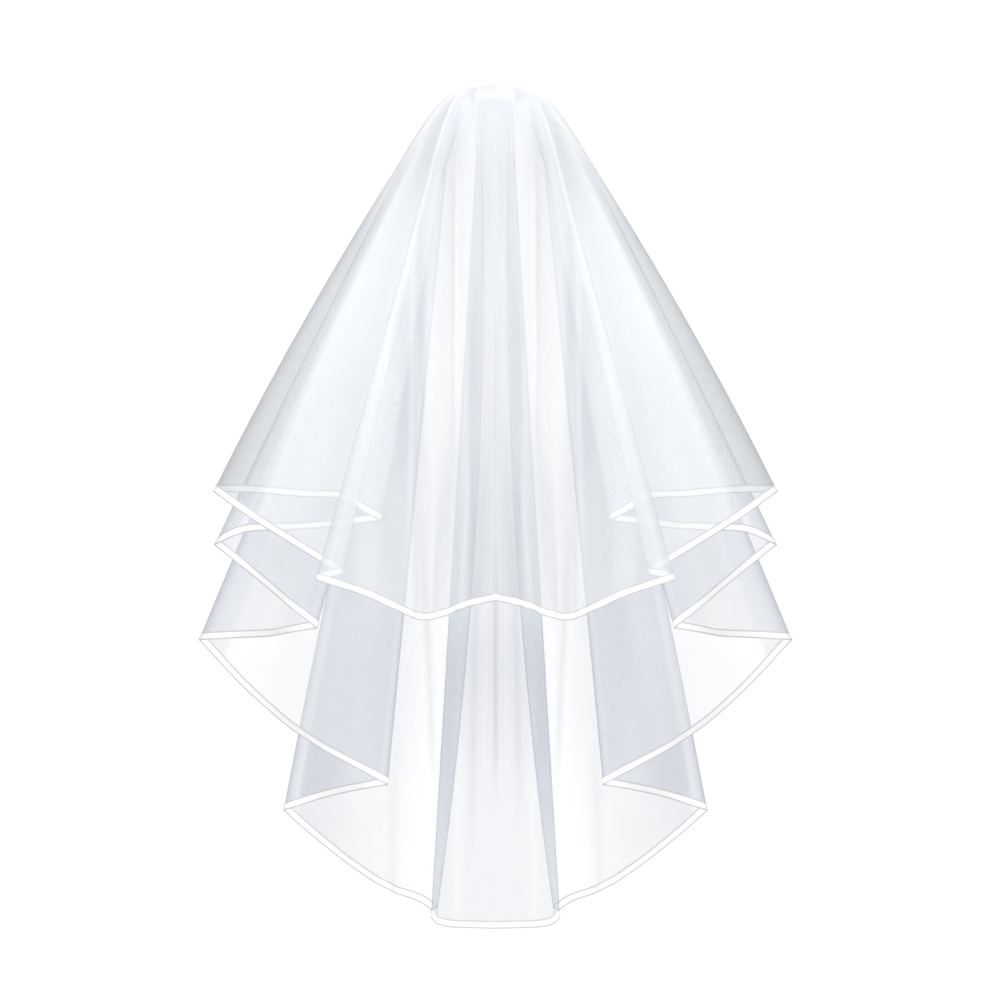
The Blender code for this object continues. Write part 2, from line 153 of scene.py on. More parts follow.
# Creases, listed one by one. x is how far the crease lies from the middle at its top and x_end at its end,
# rise is outward and a trough's is below 0, top and end are shares of the way from the comb to the hem,
# where an end above 1 carries the crease over the hem, and side is 1 or -1 for one side only.
Crease = namedtuple("Crease", "panel x x_end spread rise top end side")
CREASES = [
    Crease("short_front", 0.029, 0.031, 0.0028, -0.0016, 0.05, 0.26, 0),
    Crease("short_front", 0.018, 0.018, 0.0022, 0.0012, 0.07, 0.34, 1),
    Crease("short_front", 0.017, 0.018, 0.0024, 0.0013, 0.06, 0.31, -1),
    Crease("short_front", 0.000, 0.000, 0.0040, -0.0009, 0.08, 0.22, 0),
    Crease("short_front", 0.047, 0.045, 0.0042, -0.0018, 0.24, 0.56, 0),
    Crease("short_front", 0.0405, 0.0400, 0.0020, 0.0034, 0.20, 0.80, 0),
    Crease("short_front", 0.0765, 0.0800, 0.0016, -0.0034, 0.28, 0.62, 0),
    Crease("short_front", 0.0050, 0.0060, 0.0100, -0.0014, 0.06, 0.50, 0),
    Crease("short_front", 0.0210, 0.0220, 0.0026, -0.0038, 0.38, 0.98, 0),
    Crease("short_front", 0.0020, 0.0010, 0.0020, -0.0028, 0.46, 0.90, 1),
    Crease("short_front", 0.009, 0.009, 0.0014, 0.0010, 0.36, 0.52, 1),
    Crease("short_front", 0.010, 0.009, 0.0015, 0.0009, 0.38, 0.50, -1),
    Crease("short_front", 0.080, 0.077, 0.0026, -0.0040, 0.34, 1.20, 0),
    Crease("short_front", 0.092, 0.100, 0.0080, -0.0050, 0.42, 0.86, 0),
    Crease("short_front", 0.068, 0.071, 0.0032, 0.0026, 0.32, 0.80, 0),
    Crease("short_front", 0.042, 0.074, 0.0038, -0.0042, 0.60, 1.30, 0),
    Crease("short_front", 0.016, 0.055, 0.0034, 0.0028, 0.64, 1.30, 0),
    Crease("short_front", 0.011, 0.028, 0.0042, -0.0034, 0.68, 1.30, 0),
    Crease("short_front", 0.118, 0.112, 0.0070, -0.0022, 0.60, 1.10, 1),
    Crease("short_front", 0.116, 0.113, 0.0060, -0.0020, 0.64, 1.05, -1),
    Crease("short_front", 0.150, 0.158, 0.0060, -0.0022, 0.74, 1.15, 0),
    Crease("short_side", 0.058, 0.068, 0.0030, 0.0010, 0.14, 0.34, 0),
    Crease("short_side", 0.111, 0.262, 0.0080, 0.0028, 0.38, 1.00, 0),
    Crease("short_side", 0.130, 0.196, 0.0130, -0.0030, 0.56, 1.10, 0),
    Crease("short_side", 0.226, 0.251, 0.0018, 0.0024, 0.84, 0.98, 1),
    Crease("short_side", 0.228, 0.250, 0.0020, 0.0022, 0.85, 0.97, -1),
    Crease("short_return", 0.105, 0.205, 0.0090, 0.0026, 0.45, 1.10, 0),
    Crease("short_return", 0.085, 0.160, 0.0070, -0.0022, 0.52, 1.10, 1),
    Crease("short_return", 0.090, 0.152, 0.0080, -0.0020, 0.48, 1.00, -1),
    Crease("long_first", 0.110, 0.205, 0.0100, 0.0024, 0.45, 1.10, 1),
    Crease("long_first", 0.100, 0.190, 0.0110, 0.0022, 0.42, 1.10, -1),
    Crease("long_first", 0.150, 0.240, 0.0070, -0.0022, 0.55, 1.05, 0),
    Crease("long_second", 0.130, 0.240, 0.0100, 0.0026, 0.50, 1.20, 0),
    Crease("long_third", 0.160, 0.262, 0.0120, 0.0032, 0.62, 1.15, 0),
    Crease("long_third", 0.140, 0.222, 0.0070, -0.0024, 0.58, 1.05, 1),
    Crease("long_third", 0.144, 0.228, 0.0080, -0.0022, 0.55, 1.05, -1),
    Crease("long_fourth", 0.120, 0.190, 0.0110, 0.0030, 0.50, 1.15, 0),
    Crease("long_fourth", 0.095, 0.150, 0.0080, -0.0026, 0.45, 1.00, 1),
    Crease("long_fourth", 0.160, 0.250, 0.0090, -0.0028, 0.55, 1.10, -1),
    Crease("long_fifth", 0.100, 0.160, 0.0100, 0.0026, 0.45, 1.15, 0),
    Crease("long_back", 0.079, 0.062, 0.0017, -0.0070, 0.54, 0.91, 0),
    Crease("long_back", 0.104, 0.114, 0.0042, -0.0032, 0.78, 1.15, 0),
    Crease("long_back", 0.120, 0.150, 0.0110, 0.0030, 0.40, 1.00, 1),
    Crease("long_back", 0.116, 0.152, 0.0120, 0.0028, 0.44, 1.05, -1),
    Crease("long_middle", 0.000, 0.000, 0.0013, -0.0075, 0.54, 0.88, 0),
    Crease("long_middle", 0.010, 0.012, 0.0016, 0.0022, 0.55, 0.88, 0),
    Crease("long_middle", 0.018, 0.026, 0.0020, -0.0036, 0.50, 0.92, 1),
    Crease("long_middle", 0.020, 0.025, 0.0022, -0.0038, 0.52, 0.96, -1),
    Crease("long_middle", 0.036, 0.042, 0.0040, 0.0020, 0.60, 1.15, 0),
]
CREASE_SOFT_END = 0.35
PANEL_SOFT_EDGE = 0.10


def ease(share):
    return share * share * (3.0 - 2.0 * share)


def edge_line(index):
    """Drop of one panel's edge as a function of x: a slope-limited cubic from fold line to fold line."""
    knots = list(PANELS[index].hem)
    knots.insert(0, (0.0, SHORT_MIDDLE.hem_drop) if index == 0
                 else (FOLDS[index - 1].hem_x, FOLDS[index - 1].hem_drop))
    knots.append((0.0, LONG_MIDDLE.hem_drop) if index == len(PANELS) - 1
                 else (FOLDS[index].hem_x, FOLDS[index].hem_drop))
    first_x, last_x = knots[0][0], knots[-1][0]
    shares = [(x - first_x) / (last_x - first_x) for x, drop in knots]
    drops = [drop for x, drop in knots]
    rises = [(b - a) / (q - p) for p, q, a, b in zip(shares, shares[1:], drops, drops[1:])]
    slopes = [rises[0]]
    for before, after in zip(rises, rises[1:]):
        slopes.append(0.0 if before * after <= 0.0 else 2.0 * before * after / (before + after))
    slopes.append(rises[-1])

    def drop_at(x):
        share = (x - first_x) / (last_x - first_x)
        piece = max(i for i, knot in enumerate(shares[:-1]) if i == 0 or share >= knot)
        width = shares[piece + 1] - shares[piece]
        part = (share - shares[piece]) / width
        start_pull = width * slopes[piece] * part * (1.0 - part) ** 2
        end_pull = width * slopes[piece + 1] * part ** 2 * (1.0 - part)
        blend = drops[piece] + (drops[piece + 1] - drops[piece]) * ease(part)
        return blend + start_pull - end_pull

    return drop_at


def section_drop(level, index, x):
    """How far below the top of the crown one panel's section lies at x."""
    if level == "hem":
        return edge_line(index)(x)
    return HEAD_DROP if level == "head" else 0.0


def fold_sizes(fold, level):
    """Apex x and depth, and the half length and half width of the turn, at one section."""
    if level == "comb":
        return fold.comb_x, fold.layer * LAYER_PITCH, COMB_TURN, COMB_TURN
    if level == "head":
        return fold.head_x, fold.head_y, fold.head_turn_x, fold.head_turn_y
    return fold.hem_x, fold.hem_y, fold.hem_turn_x, fold.hem_turn_y


def middle_point(middle, level):
    if level == "comb":
        return 0.0, middle.layer * LAYER_PITCH
    return 0.0, middle.head_y if level == "head" else middle.hem_y


def turn_point(index, level, angle):
    """x, depth and drop on a fold's rounded turn, from angle 0 where it starts to pi where it ends."""
    fold = FOLDS[index]
    x, depth, turn_x, turn_y = fold_sizes(fold, level)
    x -= fold.point * turn_x * (1.0 - math.sin(angle))
    depth -= fold.deeper * turn_y * math.cos(angle)
    return x, depth, section_drop(level, index if angle < math.pi / 2.0 else index + 1, x)


def gather_rise(x):
    return sum(g.rise * np.exp(-((x - g.x) / g.spread) ** 2 / 2.0) for g in GATHERS)


def gather_out(points, gathered, growth):
    """Moves points of the falling cloth outward by their gathers."""
    points[:, 1] -= gathered * gather_rise(points[:, 0]) * growth
    return points


def panel_columns(index, level):
    """Columns of a panel: x, depth, drop, roll, back, gathered, bow, then its number, share and turn."""
    panel = PANELS[index]
    first, last = index == 0, index == len(PANELS) - 1
    start = middle_point(SHORT_MIDDLE, level) if first else turn_point(index - 1, level, math.pi)
    end = middle_point(LONG_MIDDLE, level) if last else turn_point(index, level, 0.0)
    bows = (0.0 if first else FOLDS[index - 1].bow, 0.0 if last else FOLDS[index].bow)
    steps = panel.steps * PANEL_FINENESS
    columns = []
    for step in range(steps + 1):
        share = step / steps
        x = start[0] + (end[0] - start[0]) * share
        columns.append((
            x,
            start[1] + (end[1] - start[1]) * ease(share),
            section_drop(level, index, x),
            panel.roll[0] + (panel.roll[1] - panel.roll[0]) * share,
            panel.back[0] + (panel.back[1] - panel.back[0]) * share,
            1.0 - share ** GATHER_FADE if first else 0.0,
            bows[0] + (bows[1] - bows[0]) * ease(share),
            index, share, 0.0))
    return columns


def turn_columns(index, level, part="whole"):
    """Columns inside one fold's turn. The panels beside it hold its two ends."""
    fold, before = FOLDS[index], PANELS[index]
    steps = fold.steps * TURN_FINENESS
    half_gap = SLANTED_SEAM / fold_sizes(fold, level)[3]
    if part == "whole":
        angles = [math.pi * i / steps for i in range(1, steps)]
    elif part == "to seam":
        angles = [(math.pi / 2.0 - half_gap) * i / steps for i in range(1, steps + 1)]
    else:
        angles = [math.pi - (math.pi / 2.0 - half_gap) * i / steps for i in range(steps, 0, -1)]
    held = (before.roll[1], before.back[1], 0.0, fold.bow, index, 1.0)
    return [turn_point(index, level, angle) + held + (math.sin(angle),) for angle in angles]


def half_section(tier, level):
    columns = []
    if tier == "short":
        for index in range(SHORT_PANELS):
            columns += panel_columns(index, level)
            columns += turn_columns(index, level, "whole" if index < SHORT_PANELS - 1 else "to seam")
    else:
        columns += turn_columns(SHORT_PANELS - 1, level, "from seam")
        for index in range(SHORT_PANELS, len(PANELS)):
            columns += panel_columns(index, level)
            if index < len(FOLDS):
                columns += turn_columns(index, level)
    return np.array(columns)


def unit(vectors):
    return vectors / np.linalg.norm(vectors, axis=-1, keepdims=True)


def half_drape(tier):
    """Middle surface of one half of a tier from the comb to the hem, as rows of columns.

    Rolls over the comb, swings back and down about an axis through the head, then falls straight.
    """
    comb, head, hem = (half_section(tier, level) for level in ("comb", "head", "hem"))
    depth, roll, gathered, bow = comb[:, 1], comb[:, 3], comb[:, 5], comb[:, 6]
    start_y = -SET_BACK * comb[:, 4]
    start_z = ROLL_TOP - CLOTH_WALL / 2.0 - depth
    none = np.zeros_like(depth)
    rows = []

    radius = np.maximum(ROLL_CENTRE - depth, 0.0)
    for row in range(ROLL_ROWS):
        ahead = 1.0 - row / ROLL_ROWS
        angle = math.pi * ahead * roll
        y = start_y + radius * np.sin(angle) + ROLL_FRONT * ahead * (1.0 - roll)
        z = start_z - radius * (1.0 - np.cos(angle))
        rows.append(np.stack([comb[:, 0], y, z], axis=1))

    start_radius = start_z - HEAD_Z
    head_radius = -head[:, 1]
    start_swing = np.arcsin(-start_y / start_radius)
    for row in range(DOME_ROWS):
        share = row / DOME_ROWS
        swing = start_swing + (math.pi / 2.0 - start_swing) * share
        growth = GATHER_AT_COMB + (GATHER_AT_HEAD - GATHER_AT_COMB) * share
        x = comb[:, 0] + (head[:, 0] - comb[:, 0]) * share
        radius = start_radius + (head_radius - start_radius) * ease(share)
        radius += gathered * gather_rise(x) * growth
        rows.append(np.stack([x, -radius * np.sin(swing), HEAD_Z + radius * np.cos(swing)], axis=1))

    head_points = np.stack([head[:, 0], head[:, 1], HEAD_Z + none], axis=1)
    hem_points = np.stack([hem[:, 0], hem[:, 1], CROWN_TOP - hem[:, 2]], axis=1)
    for row in range(SKIRT_ROWS + 1):
        share = row / SKIRT_ROWS
        growth = GATHER_AT_HEAD + (1.0 - GATHER_AT_HEAD) * share
        points = head_points + (hem_points - head_points) * share
        points[:, 0] += bow * 4.0 * share * (1.0 - share)
        rows.append(gather_out(points, gathered, growth))
    return np.array(rows), comb[:, 7:]


def whole(half, middle_first, mirror_by):
    """Adds the mirror image of a half, times mirror_by. The middle column is shared."""
    mirror = half[..., ::-1, :] * mirror_by
    if middle_first:
        return np.concatenate([mirror[..., :-1, :], half], axis=-2)
    return np.concatenate([half, mirror[..., 1:, :]], axis=-2)


def surface_normals(grid):
    return unit(np.cross(np.gradient(grid, axis=0), np.gradient(grid, axis=1, edge_order=2)))


def soft_step(share):
    return ease(np.clip(share, 0.0, 1.0))


def crease_relief(drape, marks, sides):
    """How far each point stands out of the smooth drape, and how far down the cloth it lies."""
    steps = np.linalg.norm(np.diff(drape, axis=0), axis=2)
    lengths = np.concatenate([np.zeros((1, drape.shape[1])), np.cumsum(steps, axis=0)])
    fall = lengths / lengths[-1]
    panel, share, turn = marks.T
    inside = soft_step((1.0 - share) / PANEL_SOFT_EDGE) + (panel == len(PANELS) - 1)
    inside *= soft_step(share / PANEL_SOFT_EDGE) + (panel == 0)
    relief = np.zeros_like(fall)
    for crease in CREASES:
        held = (panel == [row.name for row in PANELS].index(crease.panel)) * np.clip(inside, 0.0, 1.0)
        if crease.side:
            held = held * (sides * crease.side >= 0.0)
        along = (fall - crease.top) / (crease.end - crease.top)
        place = crease.x + (crease.x_end - crease.x) * along
        across = np.exp(-((np.abs(drape[..., 0]) - place) / crease.spread) ** 2 / 2.0)
        ends = soft_step(along / CREASE_SOFT_END) * soft_step((1.0 - along) / CREASE_SOFT_END)
        relief += crease.rise * held * across * ends
    return relief, lengths


# The tulle.
# Soft bridal tulle is a fine knitted net with six-sided holes, here about 1.2 mm across. One layer lets
# most of the light through, layers on each other turn cool grey, and gathers and pressed folds look solid.
# The net's light and shade are painted into its colour as a tone down the cloth, and the lower tier is
# the same net painted darker and bluer as shade.

# The net's hole, its thread as a share of the hole, and how much thread and hole cover
NET_CELL = 0.0012
NET_THREAD = 0.16
HOLE_COVER = 0.18
THREAD_COVER = 0.72

# Layers of net that a point stands for: full width, the gathers at the comb and the pressed folds
UPPER_FULLNESS = 1.4
LOWER_FULLNESS = 1.0
GATHER_COVER = 9.0
GATHER_REACH = 0.060
FOLD_COVER = 0.5
CLOUD_SCALE = 9.0
CLOUD_DETAIL = 2.0
CLOUD_SPREAD = 0.3

# Each tier's white and shade colours. The lower tier's are the same net painted darker and bluer, as
# painted shade.
UPPER_WHITE = (0.93, 0.94, 0.95, 1.0)
UPPER_SHADE = (0.64, 0.66, 0.68, 1.0)
LOWER_SHADED_WHITE = (0.88, 0.89, 0.91, 1.0)
LOWER_SHADE = (0.40, 0.44, 0.52, 1.0)
TULLE_ROUGHNESS = 0.65
TULLE_SHEEN = 0.3
TULLE_SPECULAR = 0.2

# Tone is painted light and shade. It is 1 where the cloth is painted its white, 0 where it is painted its
# shade, and below 0 where it is painted darker still. A ridge gains tone as painted light and a trough
# loses it as painted shade, by 1 for each RELIEF_SPAN of height.
UPPER_TONE = 0.75
LOWER_TONE = 0.44
DARKEST_TONE = -0.8
RELIEF_SPAN = 0.012
# The gathers' ridges are painted lighter and the hollows between them darker, as painted light and shade.
GATHER_MIDDLE = 0.003
GATHER_TONE = 0.3
FOLD_SHADE = 0.5
# Painted shade in the notch, painted light round the crown, and a painted shade line along the crown's top.
NOTCH_TONE = -0.20
CROWN_PAINTED_LIGHT = 0.8
CROWN_LINE_SHADE = 1.2
CROWN_LINE_HALF = 0.0035
MIDDLE_SHADE = 0.62
MIDDLE_HALF = 0.055
EDGE_BAND_SIDE = 0.12

# Painted light and shade of each lower panel, from its start to its end. Panels inside the folds are
# painted darker as shade.
PanelTone = namedtuple("PanelTone", "panel start end")
PANEL_TONES = [
    PanelTone("long_first", -0.20, 0.45),
    PanelTone("long_second", 0.30, -0.20),
    PanelTone("long_third", 0.10, 0.10),
    PanelTone("long_fourth", 1.00, -0.10),
    PanelTone("long_fifth", -0.20, -0.45),
    PanelTone("long_back", -0.30, 0.74),
]

# Painted shade that sets in down the cloth.
# start and reach are shares of the way from the comb to the hem.
Shade = namedtuple("Shade", "amount start reach")
DOME_SHADE = Shade(0.45, 0.17, 0.25)
EDGE_BAND_SHADE = Shade(1.10, 0.20, 0.25)
LOW_FRONT_SHADE = Shade(0.35, 0.60, 0.30)
PLEAT_SHADE = Shade(0.38, 0.58, 0.14)
PLEAT_FADE = Shade(0.70, 0.74, 0.26)
LOW_MIDDLE_SHADE = Shade(0.60, 0.66, 0.22)

# Each tier's part of the flat cut
FLAT_GATHER_RADIUS = 0.063


class Wire:
    """One socket of a node tree. Sums on wires add Math nodes, and node() adds any other node."""

    def __init__(self, tree, socket=None):
        self.tree = tree
        self.socket = socket

    def node(self, kind, settings, inputs, output=0):
        made = self.tree.nodes.new(kind)
        for name, value in settings.items():
            setattr(made, name, value)
        for name, value in inputs.items():
            if isinstance(value, Wire):
                self.tree.links.new(value.socket, made.inputs[name])
            else:
                made.inputs[name].default_value = value
        return Wire(self.tree, made.outputs[output])

    def sum(self, operation, *values):
        return self.node("ShaderNodeMath", {"operation": operation}, dict(enumerate(values)))

    def __add__(self, other):
        return self.sum("ADD", self, other)

    def __sub__(self, other):
        return self.sum("SUBTRACT", self, other)

    def __rsub__(self, other):
        return self.sum("SUBTRACT", other, self)

    def __mul__(self, other):
        return self.sum("MULTIPLY", self, other)

    def __truediv__(self, other):
        return self.sum("DIVIDE", self, other)

    def __pow__(self, other):
        return self.sum("POWER", self, other)

    __radd__ = __add__
    __rmul__ = __mul__

    def step(self, low, high):
        """0 below low, 1 above high, and a soft rise between."""
        return self.node(
            "ShaderNodeMapRange", {"interpolation_type": "SMOOTHSTEP"},
            {"Value": self, "From Min": low, "From Max": high})

    def blend(self, low, high):
        """Colour low where the wire is 0 and high where it is 1, and as far beyond as the wire goes."""
        colour_a, colour_b, colour_result = 6, 7, 2
        return self.node(
            "ShaderNodeMix", {"data_type": "RGBA", "clamp_factor": False},
            {"Factor": self, colour_a: low, colour_b: high}, colour_result)


def new_material(name):
    """A material with its shader, and a wire to start its formulas from."""
    material = bpy.data.materials.new(name)
    material.use_nodes = True
    return material, material.node_tree.nodes["Principled BSDF"], Wire(material.node_tree)


def feed(shader, name, wire):
    wire.tree.links.new(wire.socket, shader.inputs[name])


def net_thread(start):
    """1 on the threads of a six-sided net laid on the cloth's own flat measure, and 0 in its holes."""
    flat = start.node("ShaderNodeUVMap", {"uv_map": "flat"}, {})
    x = start.node("ShaderNodeSeparateXYZ", {}, {"Vector": flat}, "X") / NET_CELL
    y = start.node("ShaderNodeSeparateXYZ", {}, {"Vector": flat}, "Y") / NET_CELL
    height = math.sqrt(3.0)

    def centred(value, period):
        return start.sum("PINGPONG", value, period / 2.0)

    def distance(across, along):
        return start.sum("MAXIMUM", across, across * 0.5 + along * (height / 2.0))

    first = distance(centred(x, 1.0), centred(y, height))
    second = distance(centred(x + 0.5, 1.0), centred(y + height / 2.0, height))
    nearest = start.sum("MINIMUM", first, second)
    return nearest.step(0.5 - NET_THREAD, 0.5 - NET_THREAD / 3.0)


def tulle_material(name, white, shade):
    """See-through net that covers more where layers are stacked, with painted light and shade laid down the
    cloth as a tone.
    """
    material, shader, start = new_material(name)
    cover = net_thread(start) * (THREAD_COVER - HOLE_COVER) + HOLE_COVER
    stacked = start.node("ShaderNodeAttribute", {"attribute_name": "stacked"}, {}, "Fac")
    place = start.node("ShaderNodeTexCoord", {}, {}, "Object")
    cloud = start.node(
        "ShaderNodeTexNoise", {}, {"Vector": place, "Scale": CLOUD_SCALE, "Detail": CLOUD_DETAIL})
    layers = stacked * (cloud * CLOUD_SPREAD + (1.0 - CLOUD_SPREAD / 2.0))
    feed(shader, "Alpha", 1.0 - (1.0 - cover) ** layers)
    # The relief attribute holds the tone of painted light and shade, not a height.
    tone = start.node("ShaderNodeAttribute", {"attribute_name": "relief"}, {}, "Fac")
    feed(shader, "Base Color", tone.blend(shade, white))
    shader.inputs["Roughness"].default_value = TULLE_ROUGHNESS
    shader.inputs["Sheen Weight"].default_value = TULLE_SHEEN
    shader.inputs["Specular IOR Level"].default_value = TULLE_SPECULAR
    return material


def grid_mesh(name, grid, material):
    """One-layer sheet through a grid of rows and columns of points."""
    row_count, column_count = grid.shape[:2]
    faces = [
        (i * column_count + j, (i + 1) * column_count + j,
         (i + 1) * column_count + j + 1, i * column_count + j + 1)
        for i in range(row_count - 1) for j in range(column_count - 1)]
    mesh = bpy.data.meshes.new(name)
    mesh.from_pydata(grid.reshape(-1, 3).tolist(), [], faces)
    mesh.materials.append(material)
    mesh.shade_smooth()
    piece = bpy.data.objects.new(name, mesh)
    bpy.context.scene.collection.objects.link(piece)
    return piece


def set_flat_map(mesh, flat):
    """The cloth's flat measure, in metres, as a UV map."""
    layer = mesh.uv_layers.new(name="flat")
    corners = np.zeros(len(mesh.loops), dtype=np.int32)
    mesh.loops.foreach_get("vertex_index", corners)
    layer.data.foreach_set("uv", flat.reshape(-1, 2)[corners].astype(np.float32).ravel())


def set_attribute(mesh, name, values):
    attribute = mesh.attributes.new(name, "FLOAT", "POINT")
    attribute.data.foreach_set("value", values.astype(np.float32).ravel())


def flat_oval(grid, lengths):
    """Where each point lies in the flat cut, as polar places about the gathered point."""
    hem_steps = np.linalg.norm(np.diff(grid[-1], axis=0), axis=1)
    radii = (lengths[-1, 1:] + lengths[-1, :-1]) / 2.0 + FLAT_GATHER_RADIUS
    angles = np.concatenate([[0.0], np.cumsum(hem_steps / radii)])
    angles -= angles[len(angles) // 2]
    reach = lengths + FLAT_GATHER_RADIUS
    return np.stack([reach * np.sin(angles), -reach * np.cos(angles)], axis=-1)


def set_in(shade, fall):
    """How much of a painted shade has set in by this far down the cloth."""
    return shade.amount * soft_step((fall - shade.start) / shade.reach)


def fold_tone(marks, fall):
    """Painted light and shade of each panel, and painted shade in the notch, on folds and the short tier's
    side and hem.
    """
    panel, share, turn = marks.T
    names = [row.name for row in PANELS]
    own = sum(
        (row.start + (row.end - row.start) * share) * (panel == names.index(row.panel)) * (turn == 0.0)
        for row in PANEL_TONES)
    notch = ((panel == 0) & (turn > 0.0)) | (panel == names.index("notch"))
    side = (panel == names.index("short_side")) * soft_step(1.0 - (1.0 - share) / EDGE_BAND_SIDE)
    wing = (panel == names.index("short_side")) | (panel == names.index("short_return"))
    shaded = side * set_in(EDGE_BAND_SHADE, fall)
    shaded += (panel == 0) * set_in(LOW_FRONT_SHADE, fall)
    shaded += wing * (DOME_SHADE.amount - set_in(DOME_SHADE, fall))
    folded = FOLD_SHADE * turn ** 4 * (panel > names.index("notch"))
    return own + NOTCH_TONE * notch - folded - shaded


def pleat_tone(drape, marks, fall):
    """Painted shade where the box pleat lies three layers deep, and between the pleats below the short
    tier.
    """
    panel, share, turn = marks.T
    names = [fold.name for fold in FOLDS]
    inner, outer = (
        np.abs(drape[:, np.argmax(turn * (panel == names.index(name)))])[:, :1]
        for name in ("box_pleat_in", "box_pleat_out"))
    x = np.abs(drape[..., 0])
    deep = (x > inner) & (x < outer) & (panel > names.index("fourth_ridge"))
    middle = (panel == len(PANELS) - 1) & ~deep
    pleat = set_in(PLEAT_SHADE, fall) * (1.0 - set_in(PLEAT_FADE, fall))
    between = set_in(PLEAT_SHADE, fall) / PLEAT_SHADE.amount
    between = between * (LOW_MIDDLE_SHADE.amount - set_in(LOW_MIDDLE_SHADE, fall))
    return -(deep * pleat) - middle * between


def tier_tone(short, drape, marks, lengths, relief):
    """Painted light and shade of every point of one tier, as a tone."""
    panel, share, turn = marks.T
    fall = lengths / lengths[-1]
    gathers = gather_rise(np.abs(drape[..., 0])) - GATHER_MIDDLE
    ridges = relief + GATHER_TONE * (panel == 0) * (1.0 - share ** GATHER_FADE) * gathers
    tone = (UPPER_TONE if short else LOWER_TONE) + ridges / RELIEF_SPAN + fold_tone(marks, fall)
    tone += CROWN_PAINTED_LIGHT * np.exp(-(lengths / GATHER_REACH) ** 2)
    tone -= CROWN_LINE_SHADE * np.exp(-((lengths - lengths[ROLL_ROWS]) / CROWN_LINE_HALF) ** 2)
    if short:
        tone -= MIDDLE_SHADE * np.exp(-(drape[..., 0] / MIDDLE_HALF) ** 2)
    else:
        tone += pleat_tone(drape, marks, fall)
    return np.clip(tone, DARKEST_TONE, 1.0)


def make_tier(tier, name, material):
    """Drapes one tier, presses its creases in, and returns the sheet with its grid and its normals."""
    short = tier == "short"
    half, half_marks = half_drape(tier)
    smooth = whole(half, short, (-1.0, 1.0, 1.0))
    marks = whole(half_marks, short, (1.0, 1.0, 1.0))
    count = marks.shape[0]
    sides = np.sign(np.arange(count) - count // 2) * (1 if short else -1)
    relief, lengths = crease_relief(smooth, marks, sides)
    normals = surface_normals(smooth)
    outward = -np.sign(normals[-1, count // 2, 1])
    grid = smooth + normals * outward * relief[..., None]
    sheet = grid_mesh(name, grid, material)
    set_flat_map(sheet.data, flat_oval(grid, lengths))
    gathered = GATHER_COVER * np.exp(-(lengths / GATHER_REACH) ** 2)
    fullness = UPPER_FULLNESS if short else LOWER_FULLNESS
    set_attribute(sheet.data, "stacked", fullness + gathered + FOLD_COVER * marks[:, 2] ** 4)
    # The tone of painted light and shade goes into the relief attribute.
    set_attribute(sheet.data, "relief", tier_tone(short, smooth, marks, lengths, relief))
    return sheet, grid, surface_normals(grid)


# The lower tier's net is painted darker and bluer than the upper's, as painted shade.
upper_tulle = tulle_material("upper_tulle", UPPER_WHITE, UPPER_SHADE)
lower_tulle = tulle_material("lower_tulle", LOWER_SHADED_WHITE, LOWER_SHADE)
upper_tier, upper_grid, upper_normals = make_tier("short", "upper_tulle_sheet", upper_tulle)
lower_tier, lower_grid, lower_normals = make_tier("long", "lower_tulle_sheet", lower_tulle)
for sheet, node in ((upper_tier, "upper_tier"), (lower_tier, "lower_tier")):
    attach(sheet, "root")
    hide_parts(node)

# The ribbon edge.
# Narrow white satin ribbon, 8 mm wide, is sewn over the raw edge all round the oval. It has a firm woven
# selvedge on each side, a thin grey line of painted shade along each edge, and a soft shine along its
# length.

# The ribbon's half thickness across it, as (place, depth)
RIBBON_BODY = [
    (0.0000, 0.00000), (0.0002, 0.00034), (0.0007, 0.00046), (0.0015, 0.00038), (0.0040, 0.00044),
    (0.0065, 0.00038), (0.0073, 0.00046), (0.0078, 0.00034), (0.0080, 0.00000)]
RIBBON_WHITE = (0.99, 0.99, 0.99, 1.0)
EDGE_PAINTED_SHADE = (0.57, 0.59, 0.62, 1.0)
EDGE_SHADE_WIDTH = 0.0008
EDGE_SHADE_FADE = 0.0018
SATIN_ROUGHNESS = 0.35
SATIN_SHEEN = 0.2
SATIN_PICK = 0.0005
SATIN_PICK_HEIGHT = 0.0001
SATIN_BUMP = 0.12


def satin_material():
    """White satin with painted shade along its edges and fine picks across it."""
    material, shader, start = new_material("satin")
    flat = start.node("ShaderNodeUVMap", {"uv_map": "flat"}, {})
    along = start.node("ShaderNodeSeparateXYZ", {}, {"Vector": flat}, "X")
    across = start.node("ShaderNodeSeparateXYZ", {}, {"Vector": flat}, "Y")
    edge = start.sum("MINIMUM", across, RIBBON_WIDTH - across)
    inside = edge.step(EDGE_SHADE_WIDTH, EDGE_SHADE_FADE)
    # Grey painted shade along both edges of the ribbon.
    feed(shader, "Base Color", inside.blend(EDGE_PAINTED_SHADE, RIBBON_WHITE))
    picks = start.sum("SINE", along * (math.tau / SATIN_PICK))
    bump = start.node(
        "ShaderNodeBump", {}, {"Height": picks, "Strength": SATIN_BUMP, "Distance": SATIN_PICK_HEIGHT})
    feed(shader, "Normal", bump)
    shader.inputs["Roughness"].default_value = SATIN_ROUGHNESS
    shader.inputs["Sheen Weight"].default_value = SATIN_SHEEN
    return material


